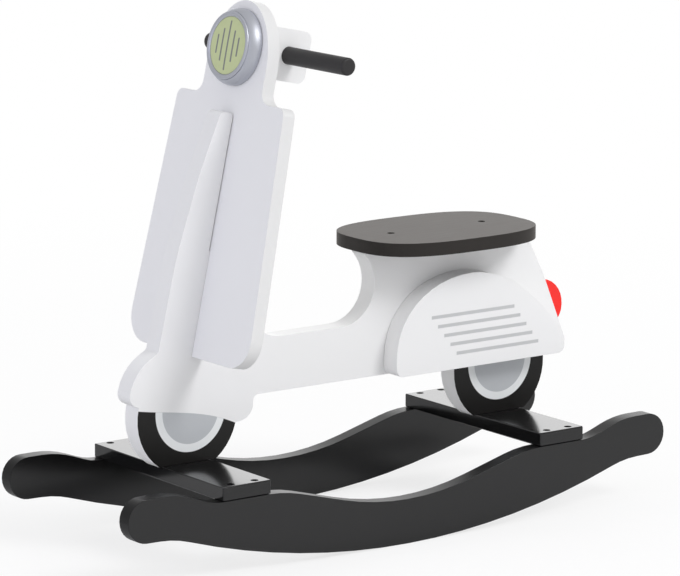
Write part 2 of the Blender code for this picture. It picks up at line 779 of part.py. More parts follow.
def make_headlight_bezel():
    """A turned dish with a swelling side and a rolled rim."""
    inner = LENS_RADIUS + GAP
    base = (LAMP_BASE_RADIUS, LAMP_BASE_HEIGHT)
    swell = (LAMP_BASE_RADIUS + LAMP_SWELL, LAMP_SWELL_HEIGHT)
    neck = (LAMP_NECK_RADIUS, LAMP_NECK_HEIGHT)
    shoulder = (LAMP_SHOULDER_RADIUS, LAMP_SHOULDER_HEIGHT)
    crest = (LAMP_RIM_RADIUS, LAMP_THICKNESS)
    roll = (inner + LAMP_RIM_WIDTH, LAMP_THICKNESS + LAMP_RIM_ROLL)
    side = bezier(base, swell, neck, shoulder, LAMP_CURVE_STEPS)
    rim = bezier(shoulder, crest, roll, (inner, LENS_TOP), LAMP_CURVE_STEPS)
    outer = [(0, GAP), (LAMP_BASE_RADIUS - LAMP_BASE_CHAMFER, GAP)] + side + rim[1:]
    dish = [(inner, LAMP_FLOOR), (0, LAMP_FLOOR)]
    mesh = turned_mesh("headlight_bezel", list(reversed(outer + dish)), LAMP_SIDES)
    bezel = place_mesh("headlight_bezel", mesh, lamp_matrix())
    smooth(bezel)
    paint(bezel, (0.42, 0.44, 0.49), 0.3, 0.8)
    return bezel


def make_headlight_lens():
    profile = [(0, LENS_TOP + LENS_CROWN),
               (LENS_CROWN_BEND, LENS_TOP + LENS_CROWN - LENS_CROWN_DROP),
               (LENS_RADIUS - LENS_EDGE, LENS_TOP),
               (LENS_RADIUS, LENS_TOP - LENS_EDGE_DROP),
               (LENS_RADIUS, LENS_UNDERSIDE),
               (0, LENS_UNDERSIDE)]
    lens = place_mesh("headlight_lens", turned_mesh("headlight_lens", profile, LAMP_SIDES),
                      lamp_matrix())
    smooth(lens)
    paint(lens, (0.48, 0.54, 0.21), 0.35)
    return lens


# Rear covers


def cover_outline():
    front = at_front(-COVER_FRONT_REACH, COVER_FRONT_RISE)[:2]
    top = at_front(-COVER_TOP_REACH, COVER_TOP_RISE)[:2]
    rear = at_front(-COVER_REAR_REACH, COVER_REAR_RISE)[:2]
    lean = math.radians(COVER_REAR_LEAN)
    front_pull = (front[0], front[1] + COVER_FRONT_PULL)
    rear_pull = (rear[0] + COVER_REAR_PULL * math.sin(lean),
                 rear[1] + COVER_REAR_PULL * math.cos(lean))
    dome = bezier(front, front_pull, (top[0] + COVER_TOP_FRONT_PULL, top[1]), top,
                  COVER_FRONT_STEPS)
    tail = bezier(top, (top[0] - COVER_TOP_REAR_PULL, top[1]), rear_pull, rear,
                  COVER_REAR_STEPS)
    base = DECK_UNDERSIDE_RISE
    return rounded([at_front(-COVER_REAR_REACH, base, COVER_REAR_CORNER),
                    at_front(-COVER_FRONT_REACH, base, COVER_FRONT_CORNER)]
                   + dome + tail[1:-1])


def make_cover(name, side):
    middle = side * (BODY_THICKNESS / 2 + GAP + COVER_THICKNESS / 2)
    cover = board(name, cover_outline(), COVER_THICKNESS, upright(middle))
    round_edges(cover, EDGE_RADIUS)
    smooth(cover)
    white(cover)
    return cover


def make_cover_pins(pieces):
    """Dowels through the body board into both covers."""
    middle_x = FRONT_X - (COVER_FRONT_REACH + COVER_REAR_REACH) / 2
    height = BOARD_TOP + (DECK_UNDERSIDE_RISE + COVER_TOP_RISE) / 2 - COVER_PIN_DROP
    matrices = [aim((middle_x + along * COVER_PIN_SPREAD / 2, 0, height), (0, 1, 0))
                for along in (-1, 1)]
    length = BODY_THICKNESS + 2 * (GAP + PIN_BITE)
    mesh = rod_mesh("cover_dowel", PIN_RADIUS, length, PIN_SIDES)
    for title, matrix in zip(numbered("cover_dowel", len(matrices)), matrices):
        pin = place_mesh(title, mesh, matrix)
        smooth(pin)
    paint(pin, (0.62, 0.45, 0.27), 0.7)
    hole = rod_mesh("cover_dowel_hole", PIN_RADIUS + SHAFT_GAP, length + 2 * SHAFT_GAP,
                    PIN_SIDES)
    holes = joined_cutters("cover_dowel_holes", hole, matrices)
    for piece in pieces:
        cut(piece, holes)


# Seat


def make_seat():
    """A rounded oblong: its outline is a squarish oval."""
    outline = []
    for i in range(SEAT_SIDES):
        turn = 2 * math.pi * i / SEAT_SIDES
        wide = math.copysign(abs(math.cos(turn)) ** (2 / SEAT_SQUARENESS), math.cos(turn))
        deep = math.copysign(abs(math.sin(turn)) ** (2 / SEAT_SQUARENESS), math.sin(turn))
        outline.append((SEAT_LENGTH / 2 * wide, SEAT_WIDTH / 2 * deep))
    middle = Matrix.Translation((FRONT_X - SEAT_CENTRE_REACH, 0,
                                 POST_TOP + GAP + SEAT_THICKNESS / 2))
    seat = board("seat_board", outline, SEAT_THICKNESS, middle)
    round_edges(seat, EDGE_RADIUS)
    smooth(seat)
    paint(seat, (0.075, 0.068, 0.064), 0.55)
    return seat


# Tail light


def tail_frame():
    """Middle of the light's flat on the rear edge, and the edge's two directions."""
    knee = Vector(at_front(-TAIL_KNEE_REACH, TAIL_KNEE_RISE)[:2])
    foot = Vector(at_front(-TAIL_FOOT_REACH, TAIL_FOOT_RISE)[:2])
    down = (foot - knee).normalized()
    share = (knee.y - BOARD_TOP - TAIL_LIGHT_RISE) / (knee.y - foot.y)
    out = Vector((down.y, -down.x))
    return knee.lerp(foot, share), down, out


def make_tail_light(body):
    middle, down, out = tail_frame()
    centre = middle + out * (GAP + TAIL_LIGHT_BULGE - TAIL_LIGHT_RADIUS)
    half_angle = math.acos((TAIL_LIGHT_RADIUS - TAIL_LIGHT_BULGE) / TAIL_LIGHT_RADIUS)
    facing = math.atan2(out.y, out.x)
    slice_points = arc(centre, TAIL_LIGHT_RADIUS, facing - half_angle, facing + half_angle)
    light = board("tail_light", slice_points, TAIL_LIGHT_THICKNESS, upright())
    round_edges(light, TAIL_LIGHT_EDGE)
    smooth(light)
    paint(light, (0.95, 0.05, 0.04), 0.25)
    away = (out.x, 0, out.y)
    origin = Vector((middle.x, 0, middle.y)) - Vector(away) * TAIL_PIN_SHIFT
    pin = rod("tail_light_dowel", TAIL_PIN_RADIUS, TAIL_PIN_LENGTH, aim(origin, away),
              PIN_SIDES)
    smooth(pin)
    paint(pin, (0.62, 0.45, 0.27), 0.7)
    hole = rod("tail_light_dowel_hole", TAIL_PIN_RADIUS + SHAFT_GAP,
               TAIL_PIN_LENGTH + 2 * SHAFT_GAP, aim(origin, away), PIN_SIDES, cutters)
    cut(light, hole)
    cut(body, hole)


# Assembly

rocker_left = make_rocker("rocker_left", ROCKER_Y)
rocker_right = make_rocker("rocker_right", -ROCKER_Y)
front_board = make_cross_board("front_cross_board", FRONT_X)
rear_board = make_cross_board("rear_cross_board", REAR_X)
body_board = make_body()
shield_board = make_shield()
bar_block = make_handlebar_block()
handlebar = make_handlebar(bar_block)
headlight = make_headlight_bezel()
make_headlight_lens()
cover_left = make_cover("cover_left", 1)
cover_right = make_cover("cover_right", -1)
seat_board = make_seat()

UP = (0, 0, 1)
DOWN = (0, 0, -1)
FORWARD = tuple(SHIELD_OUT)

make_cover_pins([body_board, cover_left, cover_right])
make_tail_light(body_board)
screws("front_board_screw", board_screw_places(FRONT_X), UP, BOARD_SCREW_LENGTH,
       [front_board, rocker_left, rocker_right])
screws("rear_board_screw", board_screw_places(REAR_X), UP, BOARD_SCREW_LENGTH,
       [rear_board, rocker_left, rocker_right])
for wheel, wheel_x, plank in (("front", FRONT_X, front_board), ("rear", REAR_X, rear_board)):
    screws(wheel + "_wheel_screw",
           [(wheel_x + along * WHEEL_SCREW_SPREAD / 2, 0, BOARD_BOTTOM) for along in (-1, 1)],
           DOWN, WHEEL_SCREW_LENGTH, [plank, body_board])
screws("seat_screw",
       [(FRONT_X - SEAT_CENTRE_REACH + along * SEAT_SCREW_SPREAD / 2, 0, SEAT_TOP)
        for along in (-1, 1)], UP, SEAT_SCREW_LENGTH, [seat_board, body_board])
screws("block_screw",
       [SHIELD_FOOT + SHIELD_UP * (BAR_HEIGHT + along * BLOCK_SCREW_SPREAD / 2)
        for along in (-1, 1)],
       FORWARD, BLOCK_SCREW_LENGTH, [shield_board, bar_block], FLUSH_SINK)
screws("headlight_screw", [SHIELD_FOOT + SHIELD_UP * LAMP_HEIGHT + SHIELD_OUT * LAMP_FLOOR],
       FORWARD, LAMP_SCREW_LENGTH, [headlight, shield_board], FLUSH_SINK)
block_floor = SHIELD_FOOT + SHIELD_UP * (BAR_HEIGHT - BLOCK_HEIGHT / 2) - SHIELD_OUT * BAR_DEPTH
screws("handlebar_lock_screw", [block_floor], tuple(-SHIELD_UP), LOCK_SCREW_LENGTH,
       [bar_block, handlebar])
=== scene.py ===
# %% [markdown]
# A rocking scooter for a toddler, made of lacquered boards. The boards, screws and
# dowels come from the packed CAD model, so their shapes and places are settled. What is
# left for this file is how they look: smooth edges, paint, lacquer, metal, light and the
# camera.

# %% Load the packed model
import math

import bmesh
import bpy
from mathutils import Matrix, Vector


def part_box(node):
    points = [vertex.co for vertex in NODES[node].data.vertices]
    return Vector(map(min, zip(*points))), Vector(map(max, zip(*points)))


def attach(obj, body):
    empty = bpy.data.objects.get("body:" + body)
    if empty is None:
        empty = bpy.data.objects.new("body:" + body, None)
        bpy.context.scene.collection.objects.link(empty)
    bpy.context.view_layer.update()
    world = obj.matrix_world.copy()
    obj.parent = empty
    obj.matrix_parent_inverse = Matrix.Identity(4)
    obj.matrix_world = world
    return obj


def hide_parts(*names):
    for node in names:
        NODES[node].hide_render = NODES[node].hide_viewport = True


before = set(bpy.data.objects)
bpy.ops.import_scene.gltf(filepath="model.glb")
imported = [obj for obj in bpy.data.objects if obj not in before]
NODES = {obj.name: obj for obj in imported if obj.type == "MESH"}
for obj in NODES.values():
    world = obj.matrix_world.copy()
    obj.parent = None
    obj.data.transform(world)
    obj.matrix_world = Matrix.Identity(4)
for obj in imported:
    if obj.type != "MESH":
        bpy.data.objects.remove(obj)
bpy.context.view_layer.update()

# %% [markdown]
# The camera stands far off with a long lens, as a product photographer does, so that the
# rockers stay nearly parallel. Its place, turn and lens were worked out from the corners
# of the boards in the photograph. A lens shift of a few pixels stands for the crop.

# %% The camera
VIEW_WIDTH = 680                           # of the photograph, in pixels
FOCAL_PIXELS = 3971.3                      # focal length, in pixels
SENSOR_WIDTH = 36.0                        # millimetres
CROP_SHIFT = (-2.3, -7.7)                  # sideways and upwards, in pixels
CAMERA_PLACE = (2.6453, 3.6018, 1.1540)
CAMERA_ANGLES = (36.306, 11.025, 0.146)    # yaw, pitch and roll, in degrees
FAR_CLIP = 100.0

scene = bpy.context.scene
camera_data = bpy.data.cameras.new("studio_camera")
camera_data.sensor_width = SENSOR_WIDTH
camera_data.lens = FOCAL_PIXELS * SENSOR_WIDTH / VIEW_WIDTH
camera_data.shift_x, camera_data.shift_y = (shift / VIEW_WIDTH for shift in CROP_SHIFT)
camera_data.clip_end = FAR_CLIP
camera = bpy.data.objects.new("studio_camera", camera_data)
scene.collection.objects.link(camera)
yaw, pitch, roll = (math.radians(angle) for angle in CAMERA_ANGLES)
camera.matrix_world = (Matrix.Translation(CAMERA_PLACE)
                       @ Matrix.Rotation(math.pi - yaw, 4, "Z")
                       @ Matrix.Rotation(math.pi / 2 - pitch, 4, "X")
                       @ Matrix.Rotation(roll, 4, "Z"))
scene.camera = camera
print("lens:", round(camera_data.lens, 1), "mm")

# %% [markdown]
# A soft box is a lamp behind a sheet of white cloth: its light comes from a whole
# rectangle, so the edges of its shadows are soft. Blender's area lamp is the same thing.
# A sun lamp takes fewer lines, but its small disc draws sharp shadows and shows in a
# glossy board as a dot. The power is worked out from how bright the cloth looks, which is
# easier to judge than watts.

# %% A soft box
TOY_MIDDLE = (0, 0, 0.25)
scene.view_settings.view_transform = "Standard"


def soft_box(name, place, size, glow, tint=(1, 1, 1)):
    """A lamp that faces the toy; its glow is that of its cloth, where 1 is white."""
    lamp = bpy.data.lights.new(name, "AREA")
    lamp.shape = "RECTANGLE"
    lamp.size, lamp.size_y = size
    lamp.energy = glow * math.pi * size[0] * size[1]
    lamp.color = tint
    holder = bpy.data.objects.new(name, lamp)
    holder.visible_camera = False
    scene.collection.objects.link(holder)
    turn = (Vector(TOY_MIDDLE) - Vector(place)).to_track_quat("-Z", "Y").to_matrix().to_4x4()
    holder.matrix_world = Matrix.Translation(place) @ turn
    print(name, round(holder.location.length, 1), "m off,", round(lamp.energy), "W")


print("soft boxes face", TOY_MIDDLE)

# %% [markdown]
# The toy stands in a white studio. Much of the light comes evenly from the room itself, so
# the world gives it, further down. Three soft boxes shape it: a high one over the toy's
# left side, a little to the rear, lights the side and the tops and draws the soft shadows,
# a cool one in front tints the shield, and a wide bright screen stands low behind the toy.
# That screen is what the glossy black tops mirror, because they are seen at a flat angle.

# %% The three soft boxes
soft_box("key_box", place=(-2.2, 4.6, 4.7), size=(2.2, 2.2), glow=12.2)
soft_box("front_box", place=(3.6, 0.6, 1.6), size=(2.0, 2.0), glow=1.62, tint=(0.70, 0.72, 1.0))
soft_box("back_screen", place=(-3.0, -4.0, 1.25), size=(6.0, 2.3), glow=1.5)

# %% [markdown]
# The edges of the boards are rounded over and flow into the faces. In Blender a face is
# shaded smooth or flat, and an edge between two smooth faces can be kept as a crease. The
# first helper does that for any mesh: it creases what turns sharply and smooths the rest.
# The second puts a finished mesh in the place of a CAD node.

# %% Smooth shading and stand-ins
CREASE_TURN = math.radians(50)    # edges sharper than this stay creased


def smooth_mesh(shape, name):
    """A mesh of this shape, smooth but for its creases."""
    bmesh.ops.recalc_face_normals(shape, faces=shape.faces)
    for edge in shape.edges:
        edge.smooth = edge.calc_face_angle(math.pi) < CREASE_TURN
    for face in shape.faces:
        face.smooth = True
    mesh = bpy.data.meshes.new(name + "_finished")
    shape.to_mesh(mesh)
    shape.free()
    return mesh


def stand_in(name, mesh):
    """A piece of the scene that takes a CAD node's place and its body."""
    piece = bpy.data.objects.new(name + "_finished", mesh)
    scene.collection.objects.link(piece)
    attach(piece, "root")
    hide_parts(name)
    return piece


print("edges that turn more than", round(math.degrees(CREASE_TURN)), "degrees stay creased")

# %% [markdown]
# The packed model is a heap of flat triangles, so a rounded edge shows its facets. The
# outline itself is fine enough. Each board is therefore copied, its corners are welded,
# its flat triangles joined into whole faces, and the slight turns between facets shaded
# smooth. The Weighted Normal modifier then lets the large flat faces keep their own
# direction, so that only the rounded edges roll over. Modelling the boards again would
# give the same shapes with more work.

# %% Boards with smooth edges
WELD = 1e-6
FLAT_TURN = math.radians(0.4)     # facets that turn less than this are one flat face
FACE_PULL = 60                    # how strongly the large faces keep their direction
BOARDS = ("rocker_left", "rocker_right", "front_cross_board", "rear_cross_board",
          "body_board", "shield", "cover_left", "cover_right", "handlebar_block",
          "seat_board", "tail_light")


def smooth_board(name):
    """A board's stand-in with whole flat faces and smooth rounded edges."""
    shape = bmesh.new()
    shape.from_mesh(NODES[name].data)
    bmesh.ops.remove_doubles(shape, verts=shape.verts, dist=WELD)
    bmesh.ops.dissolve_limit(shape, angle_limit=FLAT_TURN, verts=shape.verts,
                             edges=shape.edges)
    piece = stand_in(name, smooth_mesh(shape, name))
    weighted = piece.modifiers.new("flat_faces_stay_flat", "WEIGHTED_NORMAL")
    weighted.weight = FACE_PULL
    weighted.keep_sharp = True
    return piece


PIECES = {name: smooth_board(name) for name in BOARDS}
print("smoothed:", {name: len(piece.data.polygons) for name, piece in PIECES.items()})

# %% [markdown]
# Dish, lens and handlebar are round, as if turned on a lathe. A curve could be spun by
# the Screw modifier, but a short loop that places rings of points is as easy, and it makes
# the same even strips of faces. Each ring has many points, so that the silver dish mirrors
# the room in long unbroken streaks.

# %% Spin a profile
TURNED_SIDES = 128


def ring_of_points(shape, radius, height):
    """Points all round the axis, at one distance and height."""
    turns = (2 * math.pi * i / TURNED_SIDES for i in range(TURNED_SIDES))
    return [shape.verts.new((radius * math.cos(turn), radius * math.sin(turn), height))
            for turn in turns]


def turned(name, profile, origin, axis):
    """Spins a profile of (radius, height) pairs, which starts and ends on the axis."""
    shape = bmesh.new()
    rings = [ring_of_points(shape, radius, height) for radius, height in profile[1:-1]]
    for lower, upper in zip(rings, rings[1:]):
        for i in range(TURNED_SIDES):
            j = (i + 1) % TURNED_SIDES
            shape.faces.new((lower[i], lower[j], upper[j], upper[i]))
    for ring, (_, height) in ((rings[0], profile[0]), (rings[-1], profile[-1])):
        middle = shape.verts.new((0, 0, height))
        for i in range(TURNED_SIDES):
            shape.faces.new((ring[i], ring[(i + 1) % TURNED_SIDES], middle))
    mesh = smooth_mesh(shape, name)
    turn = axis.to_track_quat("Z", "Y").to_matrix().to_4x4()
    mesh.transform(Matrix.Translation(origin) @ turn)
    PIECES[name] = stand_in(name, mesh)
    print("turned", name, "from", len(profile), "points into", len(mesh.polygons), "faces")


print("turned pieces have", TURNED_SIDES, "sides")

# %% [markdown]
# The headlight sits on the leaning shield, so its axis leans too. Its sizes are read from
# the CAD nodes along that axis and across it, instead of being typed in again, and the
# new dish and lens then lie where the solids lie.

# %% Where the headlight sits
SHIELD_LEAN = math.radians(12.43)
OUT = Vector((math.cos(SHIELD_LEAN), 0, math.sin(SHIELD_LEAN)))
UP = Vector((-math.sin(SHIELD_LEAN), 0, math.cos(SHIELD_LEAN)))


def span(name, direction):
    """The lowest and highest reach of a CAD node along a direction."""
    reaches = [vertex.co.dot(direction) for vertex in NODES[name].data.vertices]
    return min(reaches), max(reaches)


LAMP_BACK, LAMP_FRONT = span("headlight_bezel", OUT)
LAMP_LOW, LAMP_HIGH = span("headlight_bezel", UP)
LAMP_MIDDLE = OUT * LAMP_BACK + UP * (LAMP_LOW + LAMP_HIGH) / 2
LENS_BACK, LENS_FRONT = (reach - LAMP_BACK for reach in span("headlight_lens", OUT))
LENS_LOW, LENS_HIGH = span("headlight_lens", UP)
LENS_RADIUS = (LENS_HIGH - LENS_LOW) / 2
print("headlight", round(1000 * (LAMP_FRONT - LAMP_BACK), 1), "mm deep, lens",
      round(2000 * LENS_RADIUS, 1), "mm wide")

# %% [markdown]
# The dish is moulded in one. Its side swells out a little, a narrow bead runs round its
# front, and inside the bead the rim slopes down to the lens. Each of the three is one
# cubic curve between two points, bent by two pulls, as with the handles of a drawn curve,
# because a few points say such a shape better than a long list. A point is a distance
# from the axis and a height over the shield, in metres.

# %% The silver dish
DISH_RADIUS = 0.0435
DISH_INNER = LENS_RADIUS + 0.0002
BACK_EDGE = ((DISH_RADIUS - 0.0008, 0), (DISH_RADIUS, 0.0006))    # a small chamfer
SIDE_FOOT = (DISH_RADIUS, 0.0015)
SIDE_PULLS = ((0.0443, 0.0075), (0.0412, 0.0128))
SIDE_TOP = (0.0387, 0.0149)
BEAD_FOOT = (0.0383, 0.0146)
BEAD_PULLS = ((0.0386, 0.0168), (0.0378, 0.0178))
BEAD_TOP = (0.0362, LAMP_FRONT - LAMP_BACK)
RIM_PULLS = ((0.0352, 0.0177), (0.0340, 0.0168))
RIM_FOOT = (DISH_INNER, 0.0158)


def curve_points(start, pulls, end, count):
    """Points of a cubic curve, without its first one."""
    corners = (start, *pulls, end)
    points = []
    for i in range(1, count + 1):
        t = i / count
        weights = ((1 - t) ** 3, 3 * t * (1 - t) ** 2, 3 * t * t * (1 - t), t ** 3)
        points.append(tuple(sum(w * c[k] for w, c in zip(weights, corners)) for k in (0, 1)))
    return points


dish_profile = [(0, 0), *BACK_EDGE, SIDE_FOOT]
dish_profile += curve_points(SIDE_FOOT, SIDE_PULLS, SIDE_TOP, count=14)
dish_profile += [BEAD_FOOT] + curve_points(BEAD_FOOT, BEAD_PULLS, BEAD_TOP, count=10)
dish_profile += curve_points(BEAD_TOP, RIM_PULLS, RIM_FOOT, count=8)
dish_profile += [(DISH_INNER, LENS_BACK), (0, LENS_BACK)]
turned("headlight_bezel", dish_profile, LAMP_MIDDLE, OUT)

# %% [markdown]
# The lens is a thin disc that sits in the dish. Its front is slightly crowned and its
# edge is rolled over, so that the light catches it. Two more cubic curves do both.

# %% The lens
LENS_FOOT = LENS_BACK + 0.0003                   # the lens clears the dish by this little
LENS_SIDE_TOP = (LENS_RADIUS, LENS_FRONT - 0.0014)
ROLL_PULLS = ((LENS_RADIUS, LENS_FRONT - 0.0008), (LENS_RADIUS - 0.0004, LENS_FRONT - 0.0007))
CROWN_FOOT = (LENS_RADIUS - 0.0009, LENS_FRONT - 0.0006)
CROWN_PULLS = ((LENS_RADIUS * 0.6, LENS_FRONT), (LENS_RADIUS * 0.3, LENS_FRONT))

lens_profile = [(0, LENS_FOOT), (LENS_RADIUS, LENS_FOOT), LENS_SIDE_TOP]
lens_profile += curve_points(LENS_SIDE_TOP, ROLL_PULLS, CROWN_FOOT, count=4)
lens_profile += curve_points(CROWN_FOOT, CROWN_PULLS, (0, LENS_FRONT), count=8)
turned("headlight_lens", lens_profile, LAMP_MIDDLE, OUT)

# %% [markdown]
# The handlebar is one dowel whose ends are rounded over with a small cutter, so it is
# a turned part too: a straight profile with a quarter circle at each end. A plain
# cylinder with a Bevel modifier would look much the same, but the helper is already here.

# %% The handlebar
BAR_LOW, BAR_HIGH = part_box("handlebar")
BAR_MIDDLE = (BAR_LOW + BAR_HIGH) / 2
BAR_HALF = (BAR_HIGH.y - BAR_LOW.y) / 2
BAR_RADIUS = (BAR_HIGH.z - BAR_LOW.z) / 2
BAR_ROUND = 0.0028
BAR_ROUND_STEPS = 6


def bar_end(side):
    """A rounded end, from its middle outwards; side is 1 at the left and -1 at the right."""
    points = [(0, side * BAR_HALF)]
    for i in range(BAR_ROUND_STEPS + 1):
        turn = math.pi / 2 * (1 - i / BAR_ROUND_STEPS)
        points.append((BAR_RADIUS - BAR_ROUND + BAR_ROUND * math.cos(turn),
                       side * (BAR_HALF - BAR_ROUND + BAR_ROUND * math.sin(turn))))
    return points


turned("handlebar", bar_end(-1) + bar_end(1)[::-1], BAR_MIDDLE, Vector((0, 1, 0)))
print("handlebar", round(2000 * BAR_HALF), "mm long,", round(2000 * BAR_RADIUS, 1), "mm thick")

# %% [markdown]
# Every finish below is worked out from the place of a point on the toy, so the sums are
# easier to read as sums. This small class wraps one socket of a material. Plus, minus and
# times add the Math nodes, with a plain number on either side, and the method node adds
# any other kind. Wiring the nodes by hand would hide each sum behind its many links.

# %% A socket that can be added, multiplied and compared
class Flow:
    """A value that runs through a material's nodes."""

    def __init__(self, tree, socket=None):
        self.tree = tree
        self.socket = socket

    def feed(self, node, sockets):
        """Links each socket that gets a flow and writes the values of the others."""
        for name, value in sockets.items():
            if isinstance(value, Flow):
                self.tree.links.new(value.socket, node.inputs[name])
            else:
                node.inputs[name].default_value = value

    def node(self, kind, settings=None, inputs=None, out=0):
        """Adds a node: its settings first, then the values or links of its sockets."""
        made = self.tree.nodes.new("ShaderNode" + kind)
        for name, value in (settings or {}).items():
            setattr(made, name, value)
        self.feed(made, inputs or {})
        return Flow(self.tree, made.outputs[out])

    def also(self, out):
        """Another output of the same node."""
        return Flow(self.tree, self.socket.node.outputs[out])

    def math(self, operation, *values, clamp=False):
        """Adds a Math node for one to three values."""
        settings = {"operation": operation, "use_clamp": clamp}
        return self.node("Math", settings, dict(enumerate(values)))

    def __add__(self, other):
        return self.math("ADD", self, other)

    def __sub__(self, other):
        return self.math("SUBTRACT", self, other)

    def __rsub__(self, other):
        return self.math("SUBTRACT", other, self)

    def __mul__(self, other):
        return self.math("MULTIPLY", self, other)

    def __abs__(self):
        return self.math("ABSOLUTE", self)

    def below(self, edge, softness):
        """One where the value is under the edge, zero above, with a soft step."""
        return self.math("MULTIPLY_ADD", edge - self, 1 / softness, 0.5, clamp=True)

    __radd__ = __add__
    __rmul__ = __mul__


print("a flow knows:", [name for name, part in vars(Flow).items() if callable(part)])

# %% [markdown]
# A material starts with a shader and with the place of the shaded point. The place is in
# the toy's own space, so a finish stays on the piece when the toy is moved or turned.

# %% Start a finish
def new_finish(name):
    """A new material, its shader, the flow for its nodes and the place on the toy."""
    finish = bpy.data.materials.new(name)
    finish.use_nodes = True
    flow = Flow(finish.node_tree)
    shader = finish.node_tree.nodes["Principled BSDF"]
    return finish, shader, flow, flow.node("TexCoord", out="Object")


def axes(where):
    """How far the shaded point lies to the front, to the left and up, in metres."""
    front = where.node("SeparateXYZ", inputs={0: where})
    return front, front.also("Y"), front.also("Z")


print("helpers:", new_finish.__name__, "and", axes.__name__)

# %% [markdown]
# A real coat of lacquer is never the same all over: its colour, gloss and surface change
# a little from spot to spot. These helpers make that unevenness from noise, so nothing has
# to be unwrapped or painted by hand, and every piece gets its own pattern.

# %% Uneven colour and surface
def blend(share, first, second):
    """The first colour where the share is 0, the second where it is 1."""
    return share.node("Mix", {"data_type": "RGBA"}, {0: share, 6: first, 7: second}, out=2)


def noise(where, scale, detail=3.0, roughness=0.5):
    """Soft noise between 0 and 1; its scale is about the number of waves in a metre."""
    return where.node("TexNoise", inputs={"Vector": where, "Scale": scale, "Detail": detail,
                                          "Roughness": roughness})


def mingle(first, second, share):
    """Two noises in one, with this share of the first."""
    return first * share + second * (1 - share)


def bumped(height, strength, distance):
    """A height that the light sees and the outline doesn't."""
    return height.node("Bump", inputs={"Height": height, "Strength": strength,
                                       "Distance": distance})


print("helpers:", [helper.__name__ for helper in (blend, noise, mingle, bumped)])

# %% [markdown]
# The boards are sprayed. The spray leaves a faint orange peel, about two millimetres from
# crest to crest, over the slow unevenness of the board itself. The sawn edges drink more
# lacquer than the broad faces and turn duller, so a finish has to tell the two apart: the
# dot product of a face's direction with the board's thickness is 1 or -1 on a broad face
# and near 0 on an edge.

# %% Orange peel and sawn edges
PEEL_SCALE = 420.0
SWELL_SCALE = 55.0
PEEL_SHARE = 0.3
BOARD_THICKNESS = (0, 1, 0)       # the way through the boards that stand on edge
EDGE_SQUARENESS = 0.8             # below this a face counts as a sawn edge
EDGE_BLUR = 0.3


def lacquer_peel(where, fine=1.0):
    """Height of the sprayed coat: orange peel over the board's faint unevenness."""
    peel = noise(where, PEEL_SCALE * fine, detail=1.0)
    swell = noise(where, SWELL_SCALE * fine, detail=2.0)
    return mingle(peel, swell, PEEL_SHARE)


def sawn_edge(flow, thickness):
    """One on the sawn edges of a board, zero on the broad faces."""
    facing = flow.node("NewGeometry", out="Normal")
    squareness = flow.node("VectorMath", {"operation": "DOT_PRODUCT"},
                           {0: facing, 1: thickness}, out="Value")
    return abs(squareness).below(EDGE_SQUARENESS, EDGE_BLUR)


print("orange peel:", round(1000 / PEEL_SCALE, 1), "mm from crest to crest")

# %% [markdown]
# White lacquer on fibreboard is lightly sanded: nearly white, a little cool, with a soft
# gloss that varies from patch to patch and a few darker specks. The edges of each board
# get a grey of their own, which is painted light and shade: darker than the faces where
# they turn from the light, and lighter on the covers. The shield leans, so its faces are
# told from its edges along its own lean. One helper makes all four whites, because they
# are one paint.

# %% White lacquer
WHITE = (0.865, 0.865, 0.872, 1.0)
WHITE_SHADE = (0.835, 0.835, 0.84, 1.0)
WHITE_ROUGHNESS = 0.30
WHITE_SHINE = 0.3
PATCH_DULLS = 0.10                # what a dull patch adds to the roughness
EDGE_DULLS = 0.10                 # and what a sawn edge adds
SPECK_EDGE = 0.29                 # noise under this is a speck
SPECK_BLUR = 0.05


def white_lacquer(name, edge_light_and_shade, thickness=BOARD_THICKNESS):
    """Material, shader, flow, place and white colour, for paint to be laid over."""
    finish, shader, flow, where = new_finish(name)
    patch = noise(where, scale=9.0)
    speck = noise(where, scale=700.0, detail=2.0).below(SPECK_EDGE, SPECK_BLUR)
    edge = sawn_edge(flow, thickness)
    colour = blend(mingle(patch, speck, 0.5), WHITE, WHITE_SHADE)
    # The edges get a grey of their own: painted light and shade for how the light falls on them.
    colour = blend(edge, colour, (edge_light_and_shade, edge_light_and_shade, edge_light_and_shade, 1))
    flow.feed(shader, {"Base Color": colour,
                       "Roughness": patch * PATCH_DULLS + edge * EDGE_DULLS + WHITE_ROUGHNESS,
                       "Specular IOR Level": WHITE_SHINE,
                       "Normal": bumped(lacquer_peel(where), strength=0.10, distance=0.0002)})
    return finish, shader, flow, where, colour


# The edge greys are painted shade, darkest on the shield; on the covers they are painted light.
plain_white = white_lacquer("white_lacquer", edge_light_and_shade=0.84)[0]
shield_white = white_lacquer("shield_lacquer", edge_light_and_shade=0.74, thickness=OUT)[0]
print("made", plain_white.name, "and", shield_white.name)

# %% [markdown]
# Both wheels are paint on the flat faces of the body board: a black tyre, a white ring
# and a grey hub. Their places are given from the middle and the top of the cross boards
# that they stand on, as they would be marked out at the bench. Each ring and hub is a
# disc: the distance from its middle says where one colour ends and the next begins. The
# rear hub sits a little higher over its board than the front one, as in the photograph.

# %% Stencils for the wheels
PAINT_EDGE = 0.0005
BODY_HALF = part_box("body_board")[1].y
BOARD_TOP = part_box("front_cross_board")[1].z
FRONT_X, REAR_X = ((low.x + high.x) / 2 for low, high in
                   (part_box("front_cross_board"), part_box("rear_cross_board")))
FRONT_HUB = (FRONT_X - 0.005, BOARD_TOP + 0.0597)    # x and z of its middle
REAR_HUB = (REAR_X, BOARD_TOP + 0.0621)


def disc(x, z, middle, radius):
    """One inside a disc on the side face, seen along the toy's width."""
    across = x - middle[0]
    up = z - middle[1]
    return x.math("SQRT", across * across + up * up).below(radius, PAINT_EDGE)


def on_both_hubs(x, z, radius):
    """One inside a disc of this radius round either hub."""
    return disc(x, z, FRONT_HUB, radius) + disc(x, z, REAR_HUB, radius)


print("hubs:", [[round(v, 4) for v in hub] for hub in (FRONT_HUB, REAR_HUB)])

